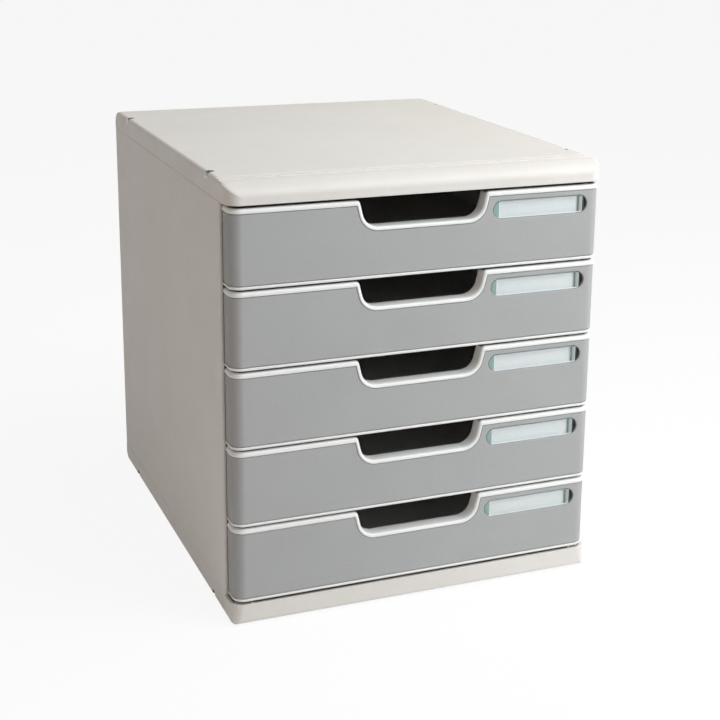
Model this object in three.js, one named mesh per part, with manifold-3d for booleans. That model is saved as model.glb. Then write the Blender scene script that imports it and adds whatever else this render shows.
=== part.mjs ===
// Desktop file drawer: five shallow drawers for A4 paper in a moulded plastic carcass.
// Millimetres. +X is to the right, -Y is the front, +Z is up, and the origin is on the
// surface that the cabinet stands on, under the middle of its plan.
import * as THREE from "three";
import { mergeVertices } from "three/addons/utils/BufferGeometryUtils.js";
import Module from "manifold-3d";

// Whole cabinet
const overallWidth = 288;
const overallDepth = 350;
const overallHeight = 324;
const footStandOff = 1;
const cornerRadius = 9;
const wallThickness = 2.5;
const jointGap = 0.3;
const arcSteps = 8;
const smallArcSteps = 3;
const overrun = 2;
const weldDistance = 0.0001;
const leastRadiusShare = 0.1;

// Top cover: a shallow cap with a rounded front and back edge
const coverHeight = 15.2;
const coverLipHeight = 0.7;
const coverFrontReach = 22;
const coverSideEdgeRadius = 3;
const backCornerRadius = 4;
const groovePitch = 7.5;
const grooveWidth = 1.2;
const grooveDepth = 0.4;

// Base tray: the same cap turned over, with a sharper front edge
const baseHeight = 15.3;
const baseLipHeight = 0.8;
const baseFrontEdgeRadius = 3.5;
const baseSideEdgeRadius = 2.5;
const gussetReach = 12;
const gussetDrop = 1;
const gussetThickness = 2;
const tickRibThickness = 1;
const tickRibRise = 1;

// Stacking sockets in the long edges of cover and base
const socketRadius = 3.8;
const socketDepth = 4.6;
const socketInset = 2.2;
const socketFromEnd = 51;
const socketWall = 2;
const socketSteps = 16;

// Rubber feet
const footRadius = 8;
const footThickness = 2.4;
const footClearance = 0.3;
const footFromSide = 34;
const footFromEnd = 33;
const footBossWall = 2.5;
const footBossHeight = 4.2;
const footSteps = 24;
const footEdgeRadius = 0.4;

// Drawers: alike, with a narrow gap between them and a wider one at both ends of the stack
const drawerCount = 5;
const drawerGap = 1.5;
const stackEndGap = 2;
const frontSideInset = 1.8;
const cornerReturn = 9;
const ledgeDepth = 10.5;
const ledgeThickness = 2.5;
const frontSkin = 2.2;
const rimRadius = 1.4;
const rimSteps = 2;
const topRim = 3.6;
const bottomRim = 2.2;

// Grey fascia let into the drawer front
const fasciaSetback = 0.4;
const fasciaThickness = 2.2;
const fasciaClearance = 0.3;

// Finger cut-out in the top of each front, as wide as the label pocket leaves it
const cutoutFromLabel = 7.5;
const cutoutDepth = 19.4;
const cutoutCornerRadius = 12;
const cutoutTopRadius = 3;
const cutoutSlant = THREE.MathUtils.degToRad(14);
const cutoutRim = 2.7;

// Label pocket, window and card
const labelFromTrayWall = 1.1;
const labelCentreDrop = 14.1;
const labelHalfLength = 38.3;
const labelRadius = 6.7;
const windowSetback = 0.9;
const windowThickness = 1.2;
const windowEndGap = 2.4;
const cardEdgeGap = 0.5;
const cardThickness = 0.5;
const cardFromLeftEnd = 5.5;
const cardFromRightEnd = 6.3;
const ejectSlotMargin = 1;

// Tray of each drawer
const trayWall = 2;
const trayFloorLift = 1.5;
const trayHeadroom = 10.5;
const trayRearClearance = 4.7;
const flangeThickness = 2;
const lugWidth = 4;
const lugHeight = 3.5;
const lugLength = 6;

// Runner channels moulded into the side panels
const runnerWidth = 7;
const runnerThickness = 3;
const keeperThickness = 2;
const runnerClearance = 0.8;
const slideClearance = 0.3;
const keeperClearance = 0.5;
const stopLength = 6;
const drawerTravel = 240;

// Side and back panels
const panelFrontGap = 1.5;
const panelEdgeRadius = 1.2;
const rearReturn = 12;
const tongueThickness = 2;
const tongueRise = 7.5;
const tongueRoot = 6;
const backPanelOverlap = 2;

// Positions that follow from the sizes above
const halfWidth = overallWidth / 2;
const halfDepth = overallDepth / 2;
const frontY = -halfDepth;
const backY = halfDepth;
const coverEdgeDrop = coverHeight - coverLipHeight;
const baseBackEdgeRadius = baseHeight - baseLipHeight;
const coverLipZ = overallHeight - coverHeight;
const baseRimZ = footStandOff + baseHeight;
const firstDrawerZ = baseRimZ + stackEndGap;
const stackHeight = coverLipZ - stackEndGap - firstDrawerZ;
const drawerPitch = (stackHeight + drawerGap) / drawerCount;
const frontHeight = drawerPitch - drawerGap;
const frontHalfWidth = halfWidth - frontSideInset;
const frontReturnY = frontY + cornerRadius + cornerReturn;
const ledgeY = frontY + ledgeDepth;
const recessDepth = fasciaSetback + fasciaThickness + fasciaClearance;
const innerWallX = halfWidth - wallThickness;
const flangeHalfWidth = innerWallX - runnerClearance;
const runnerEdgeX = innerWallX - runnerWidth;
const trayHalfWidth = runnerEdgeX - runnerClearance;
const trayInnerHalf = trayHalfWidth - trayWall;
const trayTop = frontHeight - trayHeadroom;
const flangeBottom = trayTop - flangeThickness;
const trayFloorTop = trayFloorLift + trayWall;
const backPanelBackY = backY - wallThickness - jointGap;
const backPanelFrontY = backPanelBackY - wallThickness;
const trayRearY = backPanelFrontY - trayRearClearance;
const panelFrontY = frontReturnY + panelFrontGap;
const labelLeftX = trayInnerHalf - labelFromTrayWall - 2 * labelHalfLength;
const labelRightX = labelLeftX + 2 * labelHalfLength;
const labelCentreZ = frontHeight - labelCentreDrop;
const cardHalfHeight = labelRadius - cardEdgeGap;
const cutoutFlatHalf = labelLeftX - cutoutFromLabel - cutoutCornerRadius;
const cutoutBottomZ = frontHeight - cutoutDepth;

const wasm = await Module();
wasm.setup();

// A closed three.js geometry as a solid that can be joined and cut.
function solid(geometry) {
  const bare = geometry.index ? geometry.toNonIndexed() : geometry.clone();
  bare.deleteAttribute("normal");
  bare.deleteAttribute("uv");
  const merged = mergeVertices(bare, weldDistance);
  return new wasm.Manifold(
    new wasm.Mesh({
      numProp: 3,
      vertProperties: new Float32Array(merged.attributes.position.array),
      triVerts: new Uint32Array(merged.index.array),
    }),
  );
}

// A solid as a named, coloured mesh.
function meshOf(name, body, material) {
  const made = body.getMesh();
  const positions = new Float32Array(made.numVert * 3);
  for (let i = 0; i < made.numVert; i++) {
    const start = i * made.numProp;
    positions.set(made.vertProperties.subarray(start, start + 3), i * 3);
  }
  const indexed = new THREE.BufferGeometry();
  indexed.setAttribute("position", new THREE.BufferAttribute(positions, 3));
  indexed.setIndex(new THREE.BufferAttribute(new Uint32Array(made.triVerts), 1));
  const geometry = indexed.toNonIndexed();
  geometry.computeVertexNormals();
  const mesh = new THREE.Mesh(geometry, material);
  mesh.name = name;
  return mesh;
}

function box(x0, x1, y0, y1, z0, z1) {
  const geometry = new THREE.BoxGeometry(
    Math.abs(x1 - x0),
    Math.abs(y1 - y0),
    Math.abs(z1 - z0),
  );
  geometry.translate((x0 + x1) / 2, (y0 + y1) / 2, (z0 + z1) / 2);
  return solid(geometry);
}

function joinAll(bodies) {
  return bodies.reduce((all, next) => all.add(next));
}

// Points of an arc of an ellipse with the half axes [reach, drop], both ends included.
function bend(centreX, centreY, [reach, drop], from, to, steps) {
  const points = [];
  for (let i = 0; i <= steps; i++) {
    const angle = from + ((to - from) * i) / steps;
    points.push(
      new THREE.Vector2(
        centreX + reach * Math.cos(angle),
        centreY + drop * Math.sin(angle),
      ),
    );
  }
  return points;
}

function arc(centreX, centreY, radius, from, to, steps = arcSteps) {
  return bend(centreX, centreY, [radius, radius], from, to, steps);
}

// An outline in plan, carried up from z0 to z1.
function upright(points, z0, z1) {
  const geometry = new THREE.ExtrudeGeometry(new THREE.Shape(points), {
    depth: z1 - z0,
    bevelEnabled: false,
  });
  geometry.translate(0, 0, z0);
  return solid(geometry);
}

// An outline drawn in (y, z), carried along X.
function alongX(points, x0, x1) {
  const geometry = new THREE.ExtrudeGeometry(new THREE.Shape(points), {
    depth: x1 - x0,
    bevelEnabled: false,
  });
  const turn = new THREE.Matrix4().makeBasis(
    new THREE.Vector3(0, 1, 0),
    new THREE.Vector3(0, 0, 1),
    new THREE.Vector3(1, 0, 0),
  );
  geometry.applyMatrix4(turn);
  geometry.translate(x0, 0, 0);
  return solid(geometry);
}

// An outline drawn in (x, z), carried along Y.
function alongY(points, y0, y1) {
  const geometry = new THREE.ExtrudeGeometry(new THREE.Shape(points), {
    depth: y1 - y0,
    bevelEnabled: false,
  });
  geometry.rotateX(Math.PI / 2);
  geometry.translate(0, y1, 0);
  return solid(geometry);
}

function post(x, y, radius, z0, z1, steps) {
  const geometry = new THREE.CylinderGeometry(radius, radius, z1 - z0, steps);
  geometry.rotateX(Math.PI / 2);
  geometry.translate(x, y, (z0 + z1) / 2);
  return solid(geometry);
}

// A rounding's radius on an outline drawn inwards by inset, which never quite closes up.
function radiusInside(outer, inset) {
  return Math.max(outer - inset, outer * leastRadiusShare);
}

// Plan of the carcass, drawn inwards by inset: large radii in front, small ones behind.
function carcassPlan(inset) {
  const x = halfWidth - inset;
  const front = frontY + inset;
  const back = backY - inset;
  const rFront = radiusInside(cornerRadius, inset);
  const rBack = radiusInside(backCornerRadius, inset);
  const quarter = Math.PI / 2;
  return [
    ...arc(x - rFront, front + rFront, rFront, -quarter, 0),
    ...arc(x - rBack, back - rBack, rBack, 0, quarter, smallArcSteps),
    ...arc(rBack - x, back - rBack, rBack, quarter, 2 * quarter, smallArcSteps),
    ...arc(rFront - x, front + rFront, rFront, 2 * quarter, 3 * quarter),
  ];
}

// Steps that an edge's rounding needs: few on a small one.
function edgeSteps(drop) {
  return drop > wallThickness + overrun ? arcSteps : smallArcSteps;
}

// Outline from a to b that stands open at openZ and is closed at faceZ. Each rounded edge is
// [reach, drop]: how far it goes in along the face, and how far down the wall.
function roundedLid(a, b, openZ, faceZ, edgeA, edgeB) {
  const up = Math.sign(faceZ - openZ);
  const quarter = Math.PI / 2;
  const [reachA, dropA] = edgeA;
  const [reachB, dropB] = edgeB;
  const zA = faceZ - up * dropA;
  const zB = faceZ - up * dropB;
  return [
    new THREE.Vector2(a, openZ),
    ...bend(a + reachA, zA, edgeA, 2 * quarter, quarter * (2 - up), edgeSteps(dropA)),
    ...bend(b - reachB, zB, edgeB, up * quarter, 0, edgeSteps(dropB)),
    new THREE.Vector2(b, openZ),
  ];
}

// A cap's full form: the plan, its side view and its front view, all three intersected.
function capForm(inset, openZ, faceZ, frontEdge, backEdge, sideEdge) {
  const up = Math.sign(faceZ - openZ);
  const closedZ = faceZ - up * inset;
  const mouthZ = inset > 0 ? openZ - up * overrun : openZ;
  const side = halfWidth - inset;
  const within = (edge) => edge.map((size) => radiusInside(size, inset));
  return upright(
    carcassPlan(inset),
    Math.min(mouthZ, closedZ),
    Math.max(mouthZ, closedZ),
  )
    .intersect(
      alongX(
        roundedLid(
          frontY + inset,
          backY - inset,
          mouthZ,
          closedZ,
          within(frontEdge),
          within(backEdge),
        ),
        -halfWidth,
        halfWidth,
      ),
    )
    .intersect(
      alongY(
        roundedLid(-side, side, mouthZ, closedZ, within(sideEdge), within(sideEdge)),
        frontY,
        backY,
      ),
    );
}

// One value for each of the four stacking sockets of a face: [x, y].
const socketPlaces = [-1, 1].flatMap((sx) =>
  [-1, 1].map((sy) => [
    sx * (halfWidth - socketInset),
    sy * (halfDepth - socketFromEnd),
  ]),
);

// Walls round the sockets, kept inside the cap, and then the sockets themselves.
function withSockets(shell, form, faceZ, up) {
  const floorZ = faceZ - up * socketDepth;
  const bosses = socketPlaces.map(([x, y]) => {
    const ends = [floorZ - up * socketWall, faceZ];
    return post(
      x,
      y,
      socketRadius + socketWall,
      Math.min(...ends),
      Math.max(...ends),
      socketSteps,
    );
  });
  const holes = socketPlaces.map(([x, y]) => {
    const ends = [floorZ, faceZ + up * overrun];
    return post(x, y, socketRadius, Math.min(...ends), Math.max(...ends), socketSteps);
  });
  return shell.add(joinAll(bosses).intersect(form)).subtract(joinAll(holes));
}

// The cover's front edge reaches further back along its top than down its wall, and two fine
// grooves run across where it ends.
function topCover() {
  const edges = [
    [coverFrontReach, coverEdgeDrop],
    [coverEdgeDrop, coverEdgeDrop],
    [coverSideEdgeRadius, coverSideEdgeRadius],
  ];
  const form = capForm(0, coverLipZ, overallHeight, ...edges);
  const hollow = capForm(wallThickness, coverLipZ, overallHeight, ...edges);
  const grooves = [0, groovePitch].map((behind) => {
    const y = frontY + coverFrontReach + behind;
    return box(
      -halfWidth,
      halfWidth,
      y,
      y + grooveWidth,
      overallHeight - grooveDepth,
      overallHeight + overrun,
    );
  });
  return withSockets(form.subtract(hollow), form, overallHeight, 1).subtract(
    joinAll(grooves),
  );
}

const footPlaces = [-1, 1].flatMap((sx) =>
  [-1, 1].map((sy) => [sx * (halfWidth - footFromSide), sy * (halfDepth - footFromEnd)]),
);

function baseTray() {
  const edges = [baseFrontEdgeRadius, baseBackEdgeRadius, baseSideEdgeRadius].map(
    (radius) => [radius, radius],
  );
  const form = capForm(0, baseRimZ, footStandOff, ...edges);
  const hollow = capForm(wallThickness, baseRimZ, footStandOff, ...edges);
  let base = withSockets(form.subtract(hollow), form, footStandOff, -1);

  // Webs across the two front corners, each ended by a thin upright rib.
  const webX = innerWallX - gussetReach;
  const webBackY = frontY + cornerRadius + wallThickness;
  const webTop = baseRimZ - gussetDrop;
  const inside = upright(
    carcassPlan(wallThickness - jointGap),
    footStandOff + wallThickness,
    baseRimZ + tickRibRise,
  );
  for (const side of [-1, 1]) {
    const web = box(
      side * webX,
      side * halfWidth,
      frontY,
      webBackY,
      webTop - gussetThickness,
      webTop,
    );
    const rib = box(
      side * webX,
      side * (webX - tickRibThickness),
      frontY,
      webBackY,
      footStandOff,
      baseRimZ + tickRibRise,
    );
    base = base.add(web.intersect(inside)).add(rib.intersect(inside));
  }

  // A recess for each foot, with a boss over it.
  const recessTop = footThickness + footClearance;
  for (const [x, y] of footPlaces) {
    const boss = post(
      x,
      y,
      footRadius + footBossWall,
      footStandOff,
      footStandOff + footBossHeight,
      footSteps,
    );
    const recess = post(
      x,
      y,
      footRadius + footClearance,
      footStandOff - overrun,
      recessTop,
      footSteps,
    );
    base = base.add(boss.intersect(form)).subtract(recess);
  }
  return base;
}

function rubberFoot(x, y) {
  const profile = [
    new THREE.Vector2(0, 0),
    ...arc(
      footRadius - footEdgeRadius,
      footEdgeRadius,
      footEdgeRadius,
      -Math.PI / 2,
      0,
      smallArcSteps,
    ),
    new THREE.Vector2(footRadius, footThickness),
    new THREE.Vector2(0, footThickness),
  ];
  const geometry = new THREE.LatheGeometry(profile, footSteps);
  geometry.rotateX(Math.PI / 2);
  geometry.translate(x, y, 0);
  return solid(geometry);
}

// Height of each drawer's own zero, its front's lower edge, counted from the top drawer.
const drawerBases = Array.from(
  { length: drawerCount },
  (_, i) => firstDrawerZ + (drawerCount - 1 - i) * drawerPitch,
);

// The face that a drawer's rear lug meets at full travel.
const lugFrontY = trayRearY - lugLength;
const stopFaceY = lugFrontY - drawerTravel - keeperClearance;

// One side panel: wall, rear return, tongues into cover and base, and the runner channels.
function sidePanel(side) {
  const panelBottom = baseRimZ + jointGap;
  const panelTop = coverLipZ - jointGap;
  const quarter = Math.PI / 2;
  const plan = [
    new THREE.Vector2(innerWallX, panelFrontY),
    ...arc(
      halfWidth - panelEdgeRadius,
      panelFrontY + panelEdgeRadius,
      panelEdgeRadius,
      -quarter,
      0,
      smallArcSteps,
    ),
    ...arc(
      halfWidth - backCornerRadius,
      backY - backCornerRadius,
      backCornerRadius,
      0,
      quarter,
      smallArcSteps,
    ),
    new THREE.Vector2(halfWidth - rearReturn, backY),
    new THREE.Vector2(halfWidth - rearReturn, backY - wallThickness),
    new THREE.Vector2(innerWallX, backY - wallThickness),
  ].map((p) => new THREE.Vector2(side * p.x, p.y));
  let panel = upright(plan, panelBottom, panelTop);

  // Tongues that stand inside the skirts of cover and base, and the walls that carry them.
  const tongueOuterX = innerWallX - jointGap;
  const tongueInnerX = tongueOuterX - tongueThickness;
  const tongueBackY = backPanelFrontY - jointGap;
  const tongueEnds = [
    [panelTop, 1],
    [panelBottom, -1],
  ];
  for (const [edgeZ, up] of tongueEnds) {
    const root = box(
      side * halfWidth - side * panelEdgeRadius,
      side * tongueInnerX,
      panelFrontY + panelEdgeRadius,
      tongueBackY,
      edgeZ - up * tongueRoot,
      edgeZ,
    );
    const tongue = box(
      side * tongueOuterX,
      side * tongueInnerX,
      panelFrontY + panelEdgeRadius,
      tongueBackY,
      edgeZ - up * tongueRoot,
      edgeZ + up * tongueRise,
    );
    panel = panel.add(root).add(tongue);
  }

  // Each channel has a runner below the flange, a keeper above it and a stop between.
  const channelBackY = backPanelFrontY - jointGap;
  const channelFrontY = panelFrontY + panelEdgeRadius;
  const rootX = side * (innerWallX + wallThickness / 2);
  for (const baseZ of drawerBases) {
    const runnerTop = baseZ + flangeBottom - slideClearance;
    const keeperBottom = baseZ + trayTop + lugHeight + keeperClearance;
    const runner = box(
      rootX,
      side * runnerEdgeX,
      channelFrontY,
      channelBackY,
      runnerTop - runnerThickness,
      runnerTop,
    );
    const keeper = box(
      rootX,
      side * runnerEdgeX,
      channelFrontY,
      channelBackY,
      keeperBottom,
      keeperBottom + keeperThickness,
    );
    const stop = box(
      rootX,
      side * (flangeHalfWidth - lugWidth),
      stopFaceY - stopLength,
      stopFaceY,
      baseZ + trayTop + keeperClearance,
      keeperBottom + keeperThickness / 2,
    );
    panel = panel.add(runner).add(keeper).add(stop);
  }
  return panel;
}

// A plain sheet that stands in front of the side panels' rear returns.
function backPanel() {
  const x = innerWallX - wallThickness;
  const coverReach = coverLipZ + backPanelOverlap;
  const baseReach = baseRimZ - backPanelOverlap;
  return box(-x, x, backPanelFrontY, backPanelBackY, baseReach, coverReach);
}

// Front line of a drawer in plan, from one end to the other, drawn inwards by inset.
function frontLine(inset, endY) {
  const x = frontHalfWidth - inset;
  const y = frontY + inset;
  const radius = cornerRadius - inset;
  const quarter = Math.PI / 2;
  return [
    new THREE.Vector2(-x, endY),
    ...arc(radius - x, y + radius, radius, 2 * quarter, 3 * quarter),
    ...arc(x - radius, y + radius, radius, -quarter, 0),
    new THREE.Vector2(x, endY),
  ];
}

// The skin between two insets of a drawer's front line.
function frontSkinBand(outerInset, innerInset, endY, z0, z1) {
  const outer = frontLine(outerInset, endY);
  const inner = frontLine(innerInset, endY).reverse();
  return upright([...outer, ...inner], z0, z1);
}

// The finger cut-out's outline in (x, z), grown by offset. Its bottom corners are round, its
// sides lean outwards, and topRadius rounds the edges where it runs out of the front's top.
function cutoutOutline(offset, topRadius) {
  const radius = cutoutCornerRadius + offset;
  const bottomZ = cutoutBottomZ - offset;
  const sin = Math.sin(cutoutSlant);
  const cos = Math.cos(cutoutSlant);
  const openZ = frontHeight + overrun;
  const corner = arc(
    cutoutFlatHalf,
    bottomZ + radius,
    radius,
    -Math.PI / 2,
    -cutoutSlant,
  );
  const sideX = cutoutFlatHalf + radius * cos;
  const sideZ = bottomZ + radius - radius * sin;
  const rise = (frontHeight - topRadius + topRadius * sin - sideZ) / cos;
  const topX = sideX + rise * sin + topRadius * cos;
  const top =
    topRadius > 0
      ? [
          ...arc(
            topX,
            frontHeight - topRadius,
            topRadius,
            Math.PI - cutoutSlant,
            Math.PI / 2,
            smallArcSteps,
          ),
          new THREE.Vector2(topX, openZ),
        ]
      : [new THREE.Vector2(sideX + ((openZ - sideZ) * sin) / cos, openZ)];
  const right = [...corner, ...top];
  const left = right.map((p) => new THREE.Vector2(-p.x, p.y)).reverse();
  return [...right, ...left];
}

// The label pocket's outline in (x, z): two straight edges with half-round ends.
function labelOutline(offset) {
  const radius = labelRadius + offset;
  const quarter = Math.PI / 2;
  return [
    ...arc(labelRightX - labelRadius, labelCentreZ, radius, -quarter, quarter),
    ...arc(labelLeftX + labelRadius, labelCentreZ, radius, quarter, 3 * quarter),
  ];
}

// The drawer's front with rounded upper and lower edges, as deep as its finger ledge.
function frontBlock() {
  const plan = [
    ...frontLine(0, frontReturnY),
    new THREE.Vector2(trayInnerHalf, frontReturnY),
    new THREE.Vector2(trayInnerHalf, ledgeY),
    new THREE.Vector2(-trayInnerHalf, ledgeY),
    new THREE.Vector2(-trayInnerHalf, frontReturnY),
  ];
  const geometry = new THREE.ExtrudeGeometry(new THREE.Shape(plan), {
    depth: frontHeight - 2 * rimRadius,
    bevelEnabled: true,
    bevelThickness: rimRadius,
    bevelSize: rimRadius,
    bevelOffset: -rimRadius,
    bevelSegments: rimSteps,
  });
  geometry.translate(0, 0, rimRadius);
  return solid(geometry);
}

// A drawer's tray in one moulding: front frame, floor, walls, side flanges and stop lugs.
function drawerTray() {
  const frontInnerY = frontY + recessDepth + frontSkin;
  const bin = box(
    -trayHalfWidth,
    trayHalfWidth,
    frontInnerY - frontSkin / 2,
    trayRearY,
    trayFloorLift,
    trayTop,
  );
  let tray = frontBlock().add(bin);
  for (const side of [-1, 1]) {
    const flange = box(
      side * (trayHalfWidth - trayWall / 2),
      side * flangeHalfWidth,
      ledgeY,
      trayRearY,
      flangeBottom,
      trayTop,
    );
    const lug = box(
      side * (flangeHalfWidth - lugWidth),
      side * flangeHalfWidth,
      lugFrontY,
      trayRearY,
      flangeBottom,
      trayTop + lugHeight,
    );
    tray = tray.add(flange).add(lug);
  }

  // The inside, less the ledge that runs along the front's top and round the cut-out.
  const room = box(
    -trayInnerHalf,
    trayInnerHalf,
    frontInnerY,
    trayRearY - trayWall,
    trayFloorTop,
    frontHeight + overrun,
  );
  const topLedge = box(
    -trayHalfWidth,
    trayHalfWidth,
    frontY,
    ledgeY,
    frontHeight - ledgeThickness,
    frontHeight + overrun,
  );
  const cutoutLedge = alongY(cutoutOutline(ledgeThickness, 0), frontY, ledgeY);
  tray = tray.subtract(room.subtract(topLedge.add(cutoutLedge)));
  tray = tray.subtract(
    alongY(cutoutOutline(0, cutoutTopRadius), frontY - overrun, ledgeY + overrun),
  );

  // The recess for the fascia leaves a rim above, below and round the cut-out.
  const recess = frontSkinBand(
    -overrun,
    recessDepth,
    frontReturnY + overrun,
    bottomRim,
    frontHeight - topRim,
  ).subtract(alongY(cutoutOutline(cutoutRim, 0), frontY - overrun, backY));
  tray = tray.subtract(recess);

  // A shallow seat for the card, and the slot at its right end through which it is pushed.
  const cardBackY =
    frontY + windowSetback + windowThickness + 2 * fasciaClearance + cardThickness;
  const seat = alongY(labelOutline(fasciaClearance), frontY - overrun, cardBackY);
  const slotX = labelRightX - windowEndGap - ejectSlotMargin;
  const slot = alongY(labelOutline(0), frontY - overrun, ledgeY).intersect(
    box(slotX, halfWidth, frontY - overrun, ledgeY, 0, frontHeight),
  );
  return tray.subtract(seat).subtract(slot);
}

// The grey skin that wraps the drawer's front and both its corners.
function drawerFascia() {
  const skin = frontSkinBand(
    fasciaSetback,
    fasciaSetback + fasciaThickness,
    frontReturnY,
    bottomRim + fasciaClearance,
    frontHeight - topRim - fasciaClearance,
  );
  const cutout = alongY(cutoutOutline(cutoutRim + fasciaClearance, 0), frontY, backY);
  const pocket = alongY(labelOutline(0), frontY, backY);
  return skin.subtract(cutout).subtract(pocket);
}

// The clear window. Its right end stops short of the pocket and leaves a half-moon open.
function labelWindow() {
  const y = frontY + windowSetback;
  return alongY(labelOutline(-fasciaClearance), y, y + windowThickness).intersect(
    box(-halfWidth, labelRightX - windowEndGap, frontY, backY, 0, frontHeight),
  );
}

function labelCard() {
  const y = frontY + windowSetback + windowThickness + fasciaClearance;
  return box(
    labelLeftX + cardFromLeftEnd,
    labelRightX - cardFromRightEnd,
    y,
    y + cardThickness,
    labelCentreZ - cardHalfHeight,
    labelCentreZ + cardHalfHeight,
  );
}

function plastic(color, roughness) {
  return new THREE.MeshStandardMaterial({ color, roughness, metalness: 0 });
}

const carcassPlastic = plastic(0xd9d4ce, 0.5);
const trayPlastic = plastic(0xe4e1dc, 0.42);
const fasciaPlastic = plastic(0x94959a, 0.62);
const cardBoard = plastic(0xf3f4f2, 0.9);
const footRubber = plastic(0x2c2c2d, 0.85);
const clearPlastic = new THREE.MeshStandardMaterial({
  color: 0xbfd4d0,
  roughness: 0.12,
  metalness: 0,
  transparent: true,
  opacity: 0.35,
});

const cabinet = new THREE.Group();

cabinet.add(meshOf("top_cover", topCover(), carcassPlastic));
cabinet.add(meshOf("base_tray", baseTray(), carcassPlastic));
cabinet.add(meshOf("left_side_panel", sidePanel(-1), carcassPlastic));
cabinet.add(meshOf("right_side_panel", sidePanel(1), carcassPlastic));
cabinet.add(meshOf("back_panel", backPanel(), carcassPlastic));

const footNames = ["front_left", "back_left", "front_right", "back_right"];
footPlaces.forEach(([x, y], i) => {
  cabinet.add(meshOf("foot_" + footNames[i], rubberFoot(x, y), footRubber));
});

// The drawers are alike, so each group holds its own copies of the same four forms.
const drawerForms = [
  ["tray", drawerTray(), trayPlastic],
  ["fascia", drawerFascia(), fasciaPlastic],
  ["label_window", labelWindow(), clearPlastic],
  ["label_card", labelCard(), cardBoard],
];
drawerBases.forEach((baseZ, i) => {
  const drawer = new THREE.Group();
  drawer.position.z = baseZ;
  for (const [kind, body, material] of drawerForms) {
    drawer.add(meshOf("drawer_" + (i + 1) + "_" + kind, body, material));
  }
  cabinet.add(drawer);
});

export default cabinet;
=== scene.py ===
import math

import bmesh
import bpy
import numpy as np
from mathutils import Matrix, Vector
from mathutils.geometry import delaunay_2d_cdt


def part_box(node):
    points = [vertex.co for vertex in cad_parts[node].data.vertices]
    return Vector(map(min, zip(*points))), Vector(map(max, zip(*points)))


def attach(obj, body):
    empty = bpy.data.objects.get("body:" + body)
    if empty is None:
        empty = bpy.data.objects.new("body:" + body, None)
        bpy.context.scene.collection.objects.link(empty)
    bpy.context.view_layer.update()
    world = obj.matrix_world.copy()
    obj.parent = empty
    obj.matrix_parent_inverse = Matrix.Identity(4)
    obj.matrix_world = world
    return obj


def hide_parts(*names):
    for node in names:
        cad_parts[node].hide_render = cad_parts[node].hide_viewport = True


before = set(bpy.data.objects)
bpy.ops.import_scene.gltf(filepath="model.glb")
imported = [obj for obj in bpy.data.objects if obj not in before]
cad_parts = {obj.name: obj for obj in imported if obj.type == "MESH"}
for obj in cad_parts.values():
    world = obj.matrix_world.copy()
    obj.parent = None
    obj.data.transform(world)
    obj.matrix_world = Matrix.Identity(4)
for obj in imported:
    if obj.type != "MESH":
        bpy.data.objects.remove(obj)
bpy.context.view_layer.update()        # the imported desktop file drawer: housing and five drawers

# Sizes below are in millimetres, angles in degrees; mm turns a size into the scene's metres.
# +X is right, -Y is the front and +Z is up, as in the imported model.
mm = 0.001
weldDistance = 0.002      # points nearer than this become one
fillTolerance = 0.0001    # how exactly a flat fill keeps to its outlines
sharpAngle = 38           # edges that turn further than this stay crisp


def cadBox(node):
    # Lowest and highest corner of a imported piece, in millimetres.
    low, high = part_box(node)
    return np.array(low) / mm, np.array(high) / mm


# Surfaces. Each is a pair: points in millimetres, and faces as lists of point numbers.


def gridSurface(points):
    # Faces of a grid of points: each joins a point to its next row and its next column.
    rows, columns = points.shape[:2]
    index = np.arange(rows * columns).reshape(rows, columns)
    corners = [index[:-1, :-1], index[:-1, 1:], index[1:, 1:], index[1:, :-1]]
    return points.reshape(-1, 3), np.stack(corners, axis=-1).reshape(-1, 4).tolist()


def ringStack(rings):
    # A profile of closed rings carried along a path, with a flat face over the first and last.
    count = rings.shape[1]
    points, faces = gridSurface(np.concatenate([rings, rings[:, :1]], axis=1))
    first = list(range(count))
    last = [len(points) - 1 - count + k for k in first]
    return points, faces + [first, last]


def oneFace(points):
    # A single face whose border runs through all the points in turn.
    return points, [list(range(len(points)))]


def flatFill(loops, place):
    # Triangles between the first loop and the holes in it, drawn flat and then put in place.
    flat = [Vector(p) for loop in loops for p in loop]
    starts = np.cumsum([0] + [len(loop) for loop in loops])
    rings = [list(range(a, b)) for a, b in zip(starts[:-1], starts[1:])]
    insideWithHoles = 2
    found = delaunay_2d_cdt(flat, [], rings, insideWithHoles, fillTolerance)
    return place(np.array([tuple(p) for p in found[0]])), [list(f) for f in found[2]]


def arcPoints(centre, radius, start, end, steps):
    # Points of a circular arc: centre plus radius times (cosine, sine) of evenly spaced angles.
    angle = np.radians(np.linspace(start, end, steps + 1))
    return np.array(centre) + radius * np.stack([np.cos(angle), np.sin(angle)], axis=1)


def roundedRectangle(low, high, radius, steps=4):
    # Four corner arcs, counter-clockwise; the straight sides run between them.
    (x0, y0), (x1, y1) = np.array(low) + radius, np.array(high) - radius
    corners = [(x1, y0, -90), (x1, y1, 0), (x0, y1, 90), (x0, y0, 180)]
    return np.concatenate(
        [arcPoints((x, y), radius, turn, turn + 90, steps) for x, y, turn in corners]
    )


def drawnIn(outline, inset):
    # A counter-clockwise outline moved inwards: every corner slides along its mitre.
    ahead = np.roll(outline, -1, axis=0) - outline
    ahead /= np.linalg.norm(ahead, axis=1, keepdims=True)
    inward = np.stack([-ahead[:, 1], ahead[:, 0]], axis=1)
    before = np.roll(inward, 1, axis=0)
    share = 1 + np.sum(inward * before, axis=1, keepdims=True)
    return outline + inset * (inward + before) / share


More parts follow.
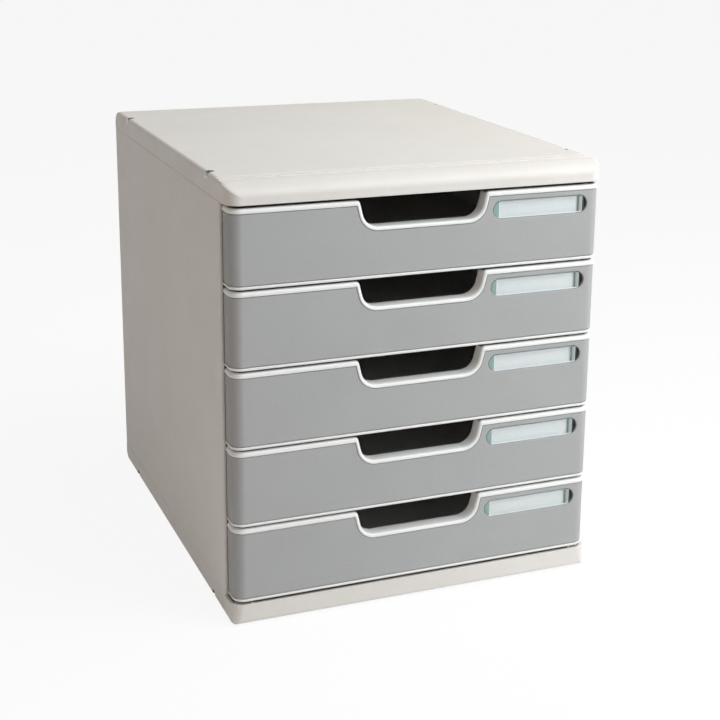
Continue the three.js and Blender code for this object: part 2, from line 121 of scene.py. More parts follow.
def prism(outline, start, end, edge, axes="xyz", steps=3):
    # An outline carried from start to end along the last of the named axes. Both rims are
    # rounded: at the angle t the outline is drawn in by edge (1 - cos t).
    quarter = np.linspace(0, 90, steps + 1)
    turn = np.radians(np.concatenate([quarter - 90, quarter]))
    middles = np.where(np.arange(turn.size) <= steps, start + edge, end - edge)
    along = middles + edge * np.sin(turn)
    inset = edge * (1 - np.cos(turn))
    rings = np.stack(
        [
            np.column_stack([drawnIn(outline, amount), np.full(len(outline), at)])
            for amount, at in zip(inset, along)
        ]
    )
    return ringStack(turned(rings, axes))


def turned(points, axes):
    # Columns drawn in the order of the named axes, put back in the order x, y, z.
    return points[..., [axes.index(a) for a in "xyz"]]


def block(low, high, edge, steps=2):
    # A box between two corners with every edge rounded. Its upright corners are rounder by a
    # hair, so that they keep some length where the plan is drawn in by the whole edge.
    low, high = np.minimum(low, high), np.maximum(low, high)
    rounder = 1.01
    plan = roundedRectangle(low[[0, 2]], high[[0, 2]], edge * rounder, steps)
    return prism(plan, low[1], high[1], edge, "xzy", steps)


# Meshes and pieces


def shellMesh(surfaces):
    # Surfaces sewn into one closed shell with its faces outwards.
    points = np.concatenate([p for p, _ in surfaces])
    starts = np.cumsum([0] + [len(p) for p, _ in surfaces])
    faces = [[k + a for k in f] for (_, fs), a in zip(surfaces, starts) for f in fs]
    mesh = bpy.data.meshes.new("shell")
    mesh.from_pydata(points * mm, [], faces)
    work = bmesh.new()
    work.from_mesh(mesh)
    bmesh.ops.remove_doubles(work, verts=work.verts, dist=weldDistance * mm)
    bmesh.ops.dissolve_degenerate(work, edges=work.edges, dist=weldDistance * mm / 2)
    bmesh.ops.recalc_face_normals(work, faces=work.faces)
    work.to_mesh(mesh)
    work.free()
    return mesh


def addObject(name, data):
    # A new object of the scene, for a mesh, a lamp or the camera.
    made = bpy.data.objects.new(name, data)
    bpy.context.scene.collection.objects.link(made)
    return made


def carve(mesh, operation, tools):
    # The mesh joined with all the tools, or cut by them.
    made = [addObject("carving", part) for part in (mesh, joinedMesh(tools))]
    step = made[0].modifiers.new("carve", "BOOLEAN")
    step.operation = operation
    step.object = made[1]
    step.solver = "MANIFOLD"
    carved = made[0].evaluated_get(bpy.context.evaluated_depsgraph_get())
    result = bpy.data.meshes.new_from_object(carved)
    for helper in made:
        bpy.data.objects.remove(helper)
    return result


def joinedMesh(meshes):
    # One mesh that holds all the shells as they are.
    work = bmesh.new()
    for mesh in meshes:
        work.from_mesh(mesh)
    result = bpy.data.meshes.new("joined")
    work.to_mesh(result)
    work.free()
    return result


def makePiece(name, meshes, material, body, stands):
    # One named object of closed shells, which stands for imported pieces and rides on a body.
    mesh = joinedMesh(meshes)
    mesh.name = name
    mesh.materials.clear()
    mesh.materials.append(material)
    mesh.shade_smooth()
    mesh.set_sharp_from_angle(angle=math.radians(sharpAngle))
    piece = addObject(name, mesh)
    even = piece.modifiers.new("even shading", "WEIGHTED_NORMAL")
    even.keep_sharp = True
    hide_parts(*stands)
    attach(piece, body)
    return piece


# Materials


def linear(hexColor):
    # An sRGB hex colour as the linear red, green, blue and alpha that a shader takes: the
    # standard sRGB curve, straight near black and a power of 2.4 above.
    parts = [int(hexColor[k : k + 2], 16) / 255 for k in (1, 3, 5)]
    return [c / 12.92 if c <= 0.04045 else ((c + 0.055) / 1.055) ** 2.4 for c in parts] + [1]


def setInputs(tree, node, inputs):
    # An input is a value, or another node's output to link.
    for key, value in inputs.items():
        if isinstance(value, bpy.types.NodeSocket):
            tree.links.new(value, node.inputs[key])
        else:
            node.inputs[key].default_value = value


def addNode(tree, kind, settings=None, inputs=None):
    # One node with its settings and its inputs.
    made = tree.nodes.new(kind)
    for key, value in (settings or {}).items():
        setattr(made, key, value)
    setInputs(tree, made, inputs or {})
    return made


def newMaterial(name):
    # A new material, its node tree and its shader.
    material = bpy.data.materials.new(name)
    material.use_nodes = True
    tree = material.node_tree
    return material, tree, tree.nodes["Principled BSDF"]


noiseRange = (0.3, 0.7)      # nearly all values of a noise texture lie between these


def grainBump(tree, place, finish):
    # The fine erosion texture of the mould: rounded cells, with a softer swell under them.
    cells = addNode(
        tree,
        "ShaderNodeTexNoise",
        {},
        {"Vector": place, "Scale": 1 / (finish["grain"] * mm), "Detail": 2, "Roughness": 0.6},
    )
    swell = addNode(
        tree,
        "ShaderNodeTexNoise",
        {},
        {"Vector": place, "Scale": 1 / (finish["swell"] * mm), "Detail": 1},
    )
    fine = addNode(
        tree,
        "ShaderNodeBump",
        {},
        {
            "Height": cells.outputs["Fac"],
            "Strength": finish["grainStrength"],
            "Distance": finish["grainDepth"] * mm,
        },
    )
    broad = addNode(
        tree,
        "ShaderNodeBump",
        {},
        {
            "Height": swell.outputs["Fac"],
            "Strength": finish["swellStrength"],
            "Distance": finish["swellDepth"] * mm,
            "Normal": fine.outputs["Normal"],
        },
    )
    return cells.outputs["Fac"], swell.outputs["Fac"], broad.outputs["Normal"]


def mouldedPlastic(finish):
    # Injection-moulded plastic: pigment all through, slightly cloudy where the melt flowed. Its
    # grain is a little lighter and darker too, and its gloss wanders with the swell.
    material, tree, shader = newMaterial(finish["name"])
    place = addNode(tree, "ShaderNodeTexCoord").outputs["Object"]
    cells, swell, normal = grainBump(tree, place, finish)
    clouds = addNode(
        tree,
        "ShaderNodeTexNoise",
        {},
        {"Vector": place, "Scale": 1 / (finish["clouds"] * mm), "Detail": 3, "Roughness": 0.55},
    )
    cloudy = addNode(
        tree,
        "ShaderNodeMix",
        {"data_type": "RGBA"},
        {0: clouds.outputs["Fac"], 6: linear(finish["dark"]), 7: linear(finish["light"])},
    )
    speckle = addNode(
        tree,
        "ShaderNodeMapRange",
        {},
        {
            "Value": cells,
            "From Min": noiseRange[0],
            "From Max": noiseRange[1],
            "To Min": 1 - finish["speckle"],
            "To Max": 1 + finish["speckle"],
        },
    )
    tinted = addNode(
        tree,
        "ShaderNodeVectorMath",
        {"operation": "SCALE"},
        {0: cloudy.outputs[2], "Scale": speckle.outputs["Result"]},
    )
    gloss = addNode(
        tree,
        "ShaderNodeMapRange",
        {},
        {
            "Value": swell,
            "From Min": noiseRange[0],
            "From Max": noiseRange[1],
            "To Min": finish["roughness"] - finish["roughnessSpread"],
            "To Max": finish["roughness"] + finish["roughnessSpread"],
        },
    )
    setInputs(
        tree,
        shader,
        {
            "Base Color": tinted.outputs["Vector"],
            "Roughness": gloss.outputs["Result"],
            "Normal": normal,
            "IOR": finish["ior"],
            "Specular IOR Level": finish["sheen"],
        },
    )
    return material


# High-impact polystyrene, injection-moulded in a lightly eroded tool: the cover, base and side
# panels. Warm light grey all through, a broad soft sheen and no mirror reflections. The real
# grain is about 0.05 mm, too fine to show, and is drawn at 0.9 mm.
carcassFinish = dict(
    name="warmGreyPolystyreneEroded",
    light="#DEDAD5",
    dark="#D6D1CB",
    clouds=70,
    grain=0.9,
    grainDepth=0.05,
    grainStrength=0.35,
    swell=14,
    swellDepth=0.12,
    swellStrength=0.12,
    speckle=0.012,
    roughness=0.54,
    roughnessSpread=0.04,
    ior=1.59,
    sheen=0.3,
)

# Polystyrene from a polished tool: the drawers' trays and rims. Whiter and smoother, so the
# narrow rims pick up a bright line of light. Grain drawn at 0.7 mm, real about 0.02 mm.
trayFinish = dict(
    name="whitePolystyrenePolished",
    light="#E8E8E6",
    dark="#E2E2DF",
    clouds=50,
    grain=0.7,
    grainDepth=0.02,
    grainStrength=0.2,
    swell=11,
    swellDepth=0.1,
    swellStrength=0.1,
    speckle=0.006,
    roughness=0.36,
    roughnessSpread=0.04,
    ior=1.59,
    sheen=0.38,
)

# Polypropylene skin from a deeply eroded tool: the grey fascias. Matt, with a fine sandy grain
# that greys its highlights. The real grain is about 0.1 mm and is drawn at 0.8 mm.
fasciaFinish = dict(
    name="satinGreyPolypropylene",
    light="#ACACAC",
    dark="#A4A4A4",
    clouds=45,
    grain=0.8,
    grainDepth=0.09,
    grainStrength=0.5,
    swell=9,
    swellDepth=0.08,
    swellStrength=0.1,
    speckle=0.045,
    roughness=0.62,
    roughnessSpread=0.05,
    ior=1.49,
    sheen=0.15,
)


# General-purpose polystyrene strip, polished on both sides: clear, with a faint green cast and
# sharp reflections. Bands run from their first place, in millimetres from the strip's left end:
# green where no card is behind, a painted shade line at the card's end, a painted highlight on
# the card's cut edge, clear over the card, then the grey end of the pocket in its grey with
# painted shade, and the slot seen through it as painted dark shade. Along its lower edge runs
# a painted highlight, along its upper edge a painted shadow.
windowFinishAndPaintedLight = dict(
    name="clearGreenPolystyrene",
    ripple=9,
    rippleDepth=0.05,
    rippleStrength=0.08,
    roughness=0.08,
    ior=1.59,
    headroom=5,              # how far above a strip the heights wrap round
    along=[
        (0, "#8FADA5", 0.72),
        # painted shade: a dark line at the card's left end
        (3.6, "#7A9C93", 0.85),
        # painted highlight on the card's cut edge
        (4.2, "#F4FAFA", 0.7),
        (4.8, "#E4EEF0", 0.04),
        # the pocket's grey end: grey plastic with painted shade
        (69.2, "#7F8B88", 0.75),
        (69.7, "#A0ABAA", 0.85),
        (71.8, "#C2CCCB", 0.85),
        # painted shade: the slot behind, seen dark through the strip
        (72.2, "#1B2725", 0.88),
    ],
    paintedEdgeLight=[
        # painted highlight along the strip's lower edge
        (0, "#EEF6F6", 0.8),
        (0.9, "#FFFFFF", 0),
        # painted shadow along the strip's upper edge
        (12.2, "#6F8C86", 0.75),
    ],
)


def bandRamp(tree, value, low, high, bands):
    # Sharp bands of colour and opacity along one coordinate. A ramp is born with two stops.
    share = addNode(
        tree,
        "ShaderNodeMapRange",
        {},
        {"Value": value, "From Min": low * mm, "From Max": high * mm},
    )
    ramp = addNode(tree, "ShaderNodeValToRGB", {}, {"Fac": share.outputs["Result"]})
    ramp.color_ramp.interpolation = "CONSTANT"
    stops = ramp.color_ramp.elements
    bornStops = len(stops)
    for count, (begins, color, alpha) in enumerate(bands):
        place = begins / (high - low)
        stop = stops[count] if count < bornStops else stops.new(place)
        stop.position = place
        stop.color = linear(color)[:3] + [alpha]
    return ramp.outputs


def clearPolystyrene(finish):
    # The green tint, painted highlights and painted shade lie in bands. Heights are wrapped by the
    # drawers' pitch, so that the bands fall alike on all the strips.
    material, tree, shader = newMaterial(finish["name"])
    place = addNode(tree, "ShaderNodeTexCoord").outputs["Object"]
    ripple = addNode(
        tree,
        "ShaderNodeTexNoise",
        {},
        {"Vector": place, "Scale": 1 / (finish["ripple"] * mm), "Detail": 1},
    )
    wave = addNode(
        tree,
        "ShaderNodeBump",
        {},
        {
            "Height": ripple.outputs["Fac"],
            "Strength": finish["rippleStrength"],
            "Distance": finish["rippleDepth"] * mm,
        },
    )
    low, high = cadBox("drawer_1_label_window")
    sight = addNode(tree, "ShaderNodeSeparateXYZ", {}, {"Vector": place})
    pitch = (low - cadBox("drawer_2_label_window")[0])[2]
    wrapTop = high[2] + finish["headroom"]
    level = addNode(
        tree,
        "ShaderNodeMath",
        {"operation": "WRAP"},
        {0: sight.outputs["Z"], 1: wrapTop * mm, 2: (wrapTop - pitch) * mm},
    )
    # bands along the strip: green tint, painted highlights and painted shade
    across = bandRamp(tree, sight.outputs["X"], low[0], high[0], finish["along"])
    # painted highlight along the lower edge and painted shadow along the upper edge
    paintedEdgeLight = bandRamp(tree, level.outputs["Value"], low[2], high[2], finish["paintedEdgeLight"])
    tintAndPaintedLight = addNode(
        tree,
        "ShaderNodeMix",
        {"data_type": "RGBA"},
        {0: paintedEdgeLight["Alpha"], 6: across["Color"], 7: paintedEdgeLight["Color"]},
    )
    opacity = addNode(
        tree,
        "ShaderNodeMath",
        {"operation": "MAXIMUM"},
        {0: across["Alpha"], 1: paintedEdgeLight["Alpha"]},
    )
    setInputs(
        tree,
        shader,
        {
            "Base Color": tintAndPaintedLight.outputs[2],
            "Roughness": finish["roughness"],
            "IOR": finish["ior"],
            "Alpha": opacity.outputs["Value"],
            "Normal": wave.outputs["Normal"],
        },
    )
    return material


# Uncoated 200 g card: cool white, quite matt, with a cloudy felt of fibres. Fibres are about
# 0.03 mm across and are drawn at 0.4 mm.
cardFinish = dict(
    name="uncoatedWhiteCard",
    light="#DDE1E1",
    dark="#D1D5D5",
    fibre=0.4,
    napDepth=0.02,
    napStrength=0.2,
    roughness=0.85,
    sheen=0.3,
)


def labelBoard(finish):
    # Card: one noise of fibres blends its two whites and lifts a fine nap.
    material, tree, shader = newMaterial(finish["name"])
    place = addNode(tree, "ShaderNodeTexCoord").outputs["Object"]
    fibres = addNode(
        tree,
        "ShaderNodeTexNoise",
        {},
        {"Vector": place, "Scale": 1 / (finish["fibre"] * mm), "Detail": 3, "Distortion": 1.5},
    )
    felt = addNode(
        tree,
        "ShaderNodeMix",
        {"data_type": "RGBA"},
        {0: fibres.outputs["Fac"], 6: linear(finish["dark"]), 7: linear(finish["light"])},
    )
    nap = addNode(
        tree,
        "ShaderNodeBump",
        {},
        {
            "Height": fibres.outputs["Fac"],
            "Strength": finish["napStrength"],
            "Distance": finish["napDepth"] * mm,
        },
    )
    setInputs(
        tree,
        shader,
        {
            "Base Color": felt.outputs[2],
            "Roughness": finish["roughness"],
            "Specular IOR Level": finish["sheen"],
            "Normal": nap.outputs["Normal"],
        },
    )
    return material


# Thermoplastic rubber, moulded: near black, dull, with dust in its 0.6 mm pores.
footFinish = dict(
    name="blackMouldedRubber",
    light="#3A3A3A",
    dark="#232324",
    pore=0.6,
    poreDepth=0.05,
    poreStrength=0.4,
    roughness=0.8,
)


def footRubber(finish):
    # Rubber: one noise of pores blends its two blacks and pits the surface.
    material, tree, shader = newMaterial(finish["name"])
    place = addNode(tree, "ShaderNodeTexCoord").outputs["Object"]
    pores = addNode(
        tree,
        "ShaderNodeTexNoise",
        {},
        {"Vector": place, "Scale": 1 / (finish["pore"] * mm), "Detail": 2},
    )
    dusty = addNode(
        tree,
        "ShaderNodeMix",
        {"data_type": "RGBA"},
        {0: pores.outputs["Fac"], 6: linear(finish["dark"]), 7: linear(finish["light"])},
    )
    pitted = addNode(
        tree,
        "ShaderNodeBump",
        {},
        {
            "Height": pores.outputs["Fac"],
            "Strength": finish["poreStrength"],
            "Distance": finish["poreDepth"] * mm,
        },
    )
    setInputs(
        tree,
        shader,
        {
            "Base Color": dusty.outputs[2],
            "Roughness": finish["roughness"],
            "Normal": pitted.outputs["Normal"],
        },
    )
    return material


carcassPlastic = mouldedPlastic(carcassFinish)
trayPlastic = mouldedPlastic(trayFinish)
fasciaPlastic = mouldedPlastic(fasciaFinish)
windowPlastic = clearPolystyrene(windowFinishAndPaintedLight)
cardBoard = labelBoard(cardFinish)
rubber = footRubber(footFinish)
print("materials made")


# Cover and base: the same kind of cap, one turned over


sockets = dict(
    radius=3.8,
    depth=4.8,
    sideInset=2.2,
    endInset=51,
    lip=0.4,
    lipEnd=8,            # the lip's quarter round stops short of level by this angle
    lipSteps=5,
    pegLips=3,           # the cutting peg stands out above the face by this many lips
    clear=9,             # the caps' rings keep this far from a socket's middle
    hollowRadius=5,
    hollowShift=1.5,
    hollowTop=0.6,
)
capInside = dict(
    leastPart=10,        # its edges and corners keep at least a tenth of the outside's
    leastFrontCorner=1.5,
    creaseShare=0.2,
)


def cornerRun(lineInset, sideInset, radius, crease, steps=14, creaseSteps=6):
    # One corner of a cap's ring, as distances (in from the side, in from the end). The end's
    # line cuts a circle of the given radius, and a small fillet softens the crease between
    # them: its centre lies crease from the line and radius - crease from the circle's centre.
    line, side = lineInset[:, None], sideInset[:, None]
    outer = radius - side
    largestShare = 0.8
    crease = np.minimum(crease, largestShare * outer)
    rise = np.minimum(line + crease - radius, 0)
    reach = np.sqrt(np.maximum((outer - crease) ** 2 - rise**2, 0))
    meet = np.arctan2(rise, reach)
    share = np.linspace(0, 1, creaseSteps + 1)
    fillet = -np.pi / 2 + (meet + np.pi / 2) * share
    filletU = radius - reach - crease * np.cos(fillet)
    filletV = line + crease + crease * np.sin(fillet)
    sweep = meet * (1 - np.linspace(0, 1, steps + 1))
    arcU = radius - outer * np.cos(sweep)
    arcV = np.maximum(radius, line + crease) + outer * np.sin(sweep)
    return np.concatenate([filletU, arcU], axis=1), np.concatenate([filletV, arcV], axis=1)


def capRings(cap, inset, openZ, faceZ):
    # Rings of a cap from its open rim to its face. At the height h each edge is drawn in by
    # reach (1 - cos t), where sin t is how far h is up that edge's drop. The front corners
    # tighten with the square of the height, and a last ring lies inside the face's border.
    # With an inset these are the rings of the cap's inside.
    up = math.copysign(1, faceZ - openZ)
    height = abs(faceZ - openZ) - inset
    rimShares = np.array([0, 0.3, 1])
    rim = cap["rimEdge"] * rimShares
    turn = np.radians(np.linspace(0, 90, cap["steps"] + 1))
    longest = max(cap["front"][1], cap["back"][1]) - inset
    h = np.concatenate([rim, height - longest + longest * np.sin(turn)])
    lipInset = np.concatenate([cap["rimEdge"] * rimShares[::-1], 0 * turn])
    leastPart, stations = capInside["leastPart"], socketStations(cap)

    def edgeInset(reach, drop):
        reach = max(reach - inset, reach / leastPart)
        drop = max(drop - inset, drop / leastPart)
        sine = np.clip((h - height + drop) / drop, 0, 1)
        return reach * (1 - np.sqrt(1 - sine**2)) + lipInset

    x, y = cap["halfWidth"] - inset, cap["halfDepth"] - inset
    side = edgeInset(*cap["side"])
    sideX = np.repeat((x - side)[:, None], stations.size, axis=1)
    sideY = np.outer(np.ones(len(h)), stations)
    tighter = (h / height)[:, None] ** 2 * (cap["frontCorner"] - cap["faceCorner"])
    frontRadius = cap["frontCorner"] - tighter - inset
    frontRadius = np.maximum(frontRadius, capInside["leastFrontCorner"])
    backRadius = max(cap["backCorner"] - inset, cap["backCorner"] / leastPart)
    crease = cap["crease"] * (1 if inset == 0 else capInside["creaseShare"])
    frontU, frontV = cornerRun(edgeInset(*cap["front"]), side, frontRadius, crease)
    backU, backV = cornerRun(edgeInset(*cap["back"]), side, backRadius, crease)
    halfX = [x - frontU, sideX, (x - backU)[:, ::-1]]
    halfY = [frontV - y, sideY, (y - backV)[:, ::-1]]
    ringX = np.concatenate(halfX + [-part[:, ::-1] for part in halfX[::-1]], axis=1)
    ringY = np.concatenate(halfY + [part[:, ::-1] for part in halfY[::-1]], axis=1)
    ringZ = np.repeat((openZ + up * h)[:, None], ringX.shape[1], axis=1)
    rings = np.stack([ringX, ringY, ringZ], axis=-1)
    smaller = [1 - cap["border"] / x, 1 - cap["border"] / y, 1]
    return np.concatenate([rings, rings[-1:] * smaller])


def socketStations(cap):
    # Places along a cap's long sides just before and just after each socket.
    y, clear = cap["halfDepth"] - sockets["endInset"], sockets["clear"]
    return np.array([-y - clear, clear - y, y - clear, y + clear])


def capShell(cap, openZ, faceZ):
    # The outside's rings from the face to the rim, and the inside's from the rim to the face.
    outer = capRings(cap, 0, openZ, faceZ)
    inner = capRings({**cap, "rimEdge": 0}, cap["wall"], openZ, faceZ)
    return shellMesh([ringStack(np.concatenate([outer[::-1], inner]))])


def postMesh(centre, radius, z0, z1, edge=0.2, steps=40):
    # An upright round post between two heights, its rims rounded by edge.
    ring = arcPoints(centre, radius, 0, 360, steps)[:-1]
    return shellMesh([prism(ring, min(z0, z1), max(z0, z1), edge)])


def withSockets(cap, shell, faceZ, up):
    # Round stacking sockets break the long edges. Under its lip each one widens inwards and
    # opens into the hollow of the cap.
    x = cap["halfWidth"] - sockets["sideInset"]
    y = cap["halfDepth"] - sockets["endInset"]
    corners = [(sx, sy) for sx in (-1, 1) for sy in (-1, 1)]
    pegs = [socketMesh((sx * x, sy * y), faceZ, up) for sx, sy in corners]
    inner, radius = x - sockets["hollowShift"], sockets["hollowRadius"]
    top, bottom = faceZ - up * sockets["hollowTop"], faceZ - up * sockets["depth"]
    hollows = [postMesh((sx * inner, sy * y), radius, top, bottom) for sx, sy in corners]
    return carve(carve(shell, "DIFFERENCE", pegs), "DIFFERENCE", hollows)


def socketMesh(centre, faceZ, up, steps=40):
    # A peg of turned rings. Its mouth flares: at lip (1 - cos t) below the face, the radius has
    # grown by lip (1 - sin t).
    lip, above = sockets["lip"], -sockets["pegLips"] * sockets["lip"]
    turn = np.radians(np.linspace(90, sockets["lipEnd"], sockets["lipSteps"] + 1))
    depth = np.concatenate([[sockets["depth"]], lip * (1 - np.cos(turn))[::-1], [above]])
    radius = sockets["radius"] + np.concatenate([[0], lip * (1 - np.sin(turn))[::-1], [lip]])
    rings = [
        np.column_stack([arcPoints(centre, r, 0, 360, steps)[:-1], np.full(steps, faceZ - up * d)])
        for r, d in zip(radius, depth)
    ]
    return shellMesh([ringStack(np.stack(rings))])


coverLow, coverHigh = cadBox("top_cover")
cover = dict(
    halfWidth=coverHigh[0],
    halfDepth=coverHigh[1],
    front=(22, 10),
    back=(14.5, 14.5),
    side=(3, 3),
    frontCorner=11,
    faceCorner=11,
    backCorner=4,
    crease=4,
    wall=2.5,
    border=12,
    rimEdge=0.3,
    steps=34,
    stepRise=0.9,
    stepLean=0.5,
    stepPitch=7.5,
    backStepReach=6.5,
    backStepStart=0.02,
    wedgeRises=4,        # the cutting wedge stands out above the cover by this many rises
    wedgeOverrun=2,
)


def coverStep(y, reach, start):
    # The wedge that cuts a fine step across the cover. Its floor runs back over reach, from
    # start above the cover's top to the step's foot. Then a steep ramp climbs back up at y and
    # catches the light from the front.
    top, rise, lean = coverHigh[2], cover["stepRise"], cover["stepLean"]
    floor = [(y - reach, top + start), (y - lean, top - rise)]
    clear = top + cover["wedgeRises"] * rise
    above = [(y + lean, top + rise), (y + lean, clear), (y - reach, clear)]
    width = cover["halfWidth"] + cover["wedgeOverrun"]
    outline = np.array(floor + above)
    rings = [np.column_stack([np.full(len(outline), x), outline]) for x in (-width, width)]
    return shellMesh([ringStack(np.stack(rings))])


coverShell = capShell(cover, coverLow[2], coverHigh[2])
coverShell = withSockets(cover, coverShell, coverHigh[2], 1)
stepY, pitch = cover["front"][0] - cover["halfDepth"], cover["stepPitch"]
frontStep = coverStep(stepY, pitch, -cover["stepRise"])
backStep = coverStep(stepY + pitch, cover["backStepReach"], cover["backStepStart"])
coverShell = carve(coverShell, "DIFFERENCE", [frontStep, backStep])
makePiece(
    "top_cover_moulding",
    [coverShell],
    carcassPlastic,
    "housing",
    ["top_cover"],
)

baseLow, baseHigh = cadBox("base_tray")
base = dict(
    halfWidth=baseHigh[0],
    halfDepth=baseHigh[1],
    front=(3.5, 3.5),
    back=(14.5, 14.5),
    side=(2.5, 2.5),
    frontCorner=9,
    faceCorner=5,
    backCorner=4,
    crease=1.2,
    wall=2.5,
    border=12,
    rimEdge=0.3,
    steps=34,
    ribRise=1,
    ribThickness=1,
    webReach=12,
    webDrop=1,
    webThickness=2,
    webEdge=0.2,
    webOverlap=0.5,
    webSideGap=1.5,
    bossWall=2.5,
    bossFoot=0.5,
    bossHeight=4.2,
    footClearance=0.3,
    recessOverrun=3,
    recessEdge=0.1,
)
baseRimZ = baseHigh[2] - base["ribRise"]
footNames = ["front_left", "back_left", "front_right", "back_right"]


def footPlace(name):
    # A foot's centre, its radius and the height of its top.
    low, high = cadBox("foot_" + name)
    return (low + high) / 2, (high[0] - low[0]) / 2, high[2]


def baseMoulding():
    # The cap turned over, with a boss over each foot and the foot's recess cut into it.
    faceZ = baseLow[2]
    bossZ = faceZ + base["bossFoot"], faceZ + base["bossHeight"]
    recessFoot = faceZ - base["recessOverrun"]
    shell = capShell(base, baseRimZ, faceZ)
    bosses, recesses = [], []
    for name in footNames:
        centre, radius, top = footPlace(name)
        bosses.append(postMesh(centre[:2], radius + base["bossWall"], *bossZ))
        reach, recessTop = radius + base["footClearance"], top + base["footClearance"]
        recesses.append(postMesh(centre[:2], reach, recessFoot, recessTop, base["recessEdge"]))
    shell = carve(shell, "UNION", bosses)
    shell = withSockets(base, shell, faceZ, -1)
    return carve(shell, "DIFFERENCE", recesses)


def baseWebs():
    # Webs across the front corners and the thin rib that ends each of them.
    innerX = base["halfWidth"] - base["wall"]
    webX = innerX - base["webReach"]
    frontY = base["wall"] / 2 - base["halfDepth"]
    backY = base["frontCorner"] + base["wall"] - base["halfDepth"]
    top = baseRimZ - base["webDrop"]
    made = []
    for side in (-1, 1):
        rib = block(
            (side * webX, frontY, baseLow[2] + base["wall"] / 2),
            (side * (webX - base["ribThickness"]), backY, baseHigh[2]),
            base["webEdge"],
        )
        web = block(
            (side * (webX - base["webOverlap"]), frontY, top - base["webThickness"]),
            (side * (innerX - base["webSideGap"]), backY, top),
            base["webEdge"],
        )
        made += [shellMesh([rib]), shellMesh([web])]
    return made


makePiece(
    "base_tray_moulding",
    [baseMoulding()] + baseWebs(),
    carcassPlastic,
    "housing",
    ["base_tray"],
)
print("cover and base made")


# Feet


foot = dict(edge=0.4, steps=48)

for name in footNames:
    centre, radius, top = footPlace(name)
    ring = arcPoints(centre[:2], radius, 0, 360, foot["steps"])[:-1]
    pad = shellMesh([prism(ring, 0, top, foot["edge"])])
    makePiece("foot_pad_" + name, [pad], rubber, "housing", ["foot_" + name])


# Side panels


trayLow, trayHigh = cadBox("drawer_1_tray")
panelLow, panelHigh = cadBox("right_side_panel")
panel = dict(
    wall=2.5,
    frontEdge=1.2,
    backCorner=4,
    backInset=0.6,
    rearReturn=12,
    smallCorner=0.4,
    innerCorner=1,
    smallSteps=3,
    frontSteps=6,
    backSteps=10,
    innerSteps=4,
    rimEdge=0.3,
    rimLift=0.2,
    tongueRise=7.5,
    tongueThickness=2,
    tongueRoot=6,
    rootDrop=0.1,
    jointGap=0.3,
    backGap=5.6,
    runnerThickness=3,
    keeperThickness=2,
    slideClearance=0.3,
    keeperClearance=0.5,
    stopLength=6,
    stopFace=-81.5,
    stopDrop=1,
    edge=0.2,
)
tray = dict(
    wall=2,
    floorLift=1.5,
    top=46,
    edge=0.6,
    footRadius=1.5,
    cornerRadius=5,
    leastCorner=0.5,
    cornerSteps=8,
    profileSteps=3,
    frontOverlap=0.2,
    cutBehind=1,
    cutEdge=0.1,
    flangeThickness=2,
    flangeEdge=0.3,
    flangeOverlap=0.3,
    flangeLead=1,
    lugHeight=3.5,
    lugWidth=4,
    lugLength=6,
    lugRoot=1,
    lugEdge=0.5,
    runnerClearance=0.8,
)
innerWallX = panelHigh[0] - panel["wall"]
flangeX = innerWallX - tray["runnerClearance"]
trayX = panelLow[0] - tray["runnerClearance"]
drawerNumbers = range(1, 6)
drawerBases = {n: cadBox(f"drawer_{n}_tray")[0][2] for n in drawerNumbers}


def panelPlan():
    # The wall in plan with its rounded front edge, and the return behind it.
    x, back = panelHigh[0], panelHigh[1] - panel["backInset"]
    front, edge, corner = panelLow[1], panel["frontEdge"], panel["backCorner"]
    inner, small, hollow = x - panel["wall"], panel["smallCorner"], panel["innerCorner"]
    endX, endY = x - panel["rearReturn"] + small, back - panel["wall"]
    few = panel["smallSteps"]
    return np.concatenate(
        [
            arcPoints((inner + small, front + small), small, 180, 270, few),
            arcPoints((x - edge, front + edge), edge, -90, 0, panel["frontSteps"]),
            arcPoints((x - corner, back - corner), corner, 0, 90, panel["backSteps"]),
            arcPoints((endX, back - small), small, 90, 180, few),
            arcPoints((endX, endY + small), small, 180, 270, few),
            arcPoints((inner - hollow, endY - hollow), hollow, 90, 0, panel["innerSteps"]),
        ]
    )


def sidePanel(side):
    # The wall carried up from its plan, and rounded boxes for the tongues at its upper and lower
    # edge and for each drawer's runner, keeper and stop.
    mirror = np.array([side, 1, 1])
    bottom = panelLow[2] + panel["tongueRise"]
    top = panelHigh[2] - panel["tongueRise"]
    lift = panel["rimLift"]
    wall = prism(panelPlan(), bottom - lift, top + lift, panel["rimEdge"])
    backY = panelHigh[1] - panel["backGap"]
    frontY = panelLow[1] + panel["frontEdge"]
    rootX = panelHigh[0] - panel["wall"] / 2
    tongueX = innerWallX - panel["jointGap"]
    boxes = []
    inner = tongueX - panel["tongueThickness"]
    for edgeZ, up in ((top, 1), (bottom, -1)):
        start = inner, frontY, edgeZ - up * panel["tongueRoot"]
        boxes.append((start, (rootX, backY, edgeZ - up * panel["rootDrop"])))
        boxes.append((start, (tongueX, backY, edgeZ + up * panel["tongueRise"])))
    stopX = flangeX - tray["lugWidth"]
    stopFront = panel["stopFace"] - panel["stopLength"]
    for drawerZ in drawerBases.values():
        flangeTop = drawerZ + tray["top"]
        runnerTop = flangeTop - tray["flangeThickness"] - panel["slideClearance"]
        runner = runnerTop - panel["runnerThickness"]
        keeper = flangeTop + tray["lugHeight"] + panel["keeperClearance"]
        keeperTop = keeper + panel["keeperThickness"]
        stop = flangeTop + panel["keeperClearance"]
        stopTop = keeperTop - panel["stopDrop"]
        boxes.append(((panelLow[0], frontY, runner), (rootX, backY, runnerTop)))
        boxes.append(((panelLow[0], frontY, keeper), (rootX, backY, keeperTop)))
        boxes.append(((stopX, stopFront, stop), (rootX, panel["stopFace"], stopTop)))
    solids = [wall] + [block(a, b, panel["edge"]) for a, b in boxes]
    return [shellMesh([(points * mirror, faces)]) for points, faces in solids]


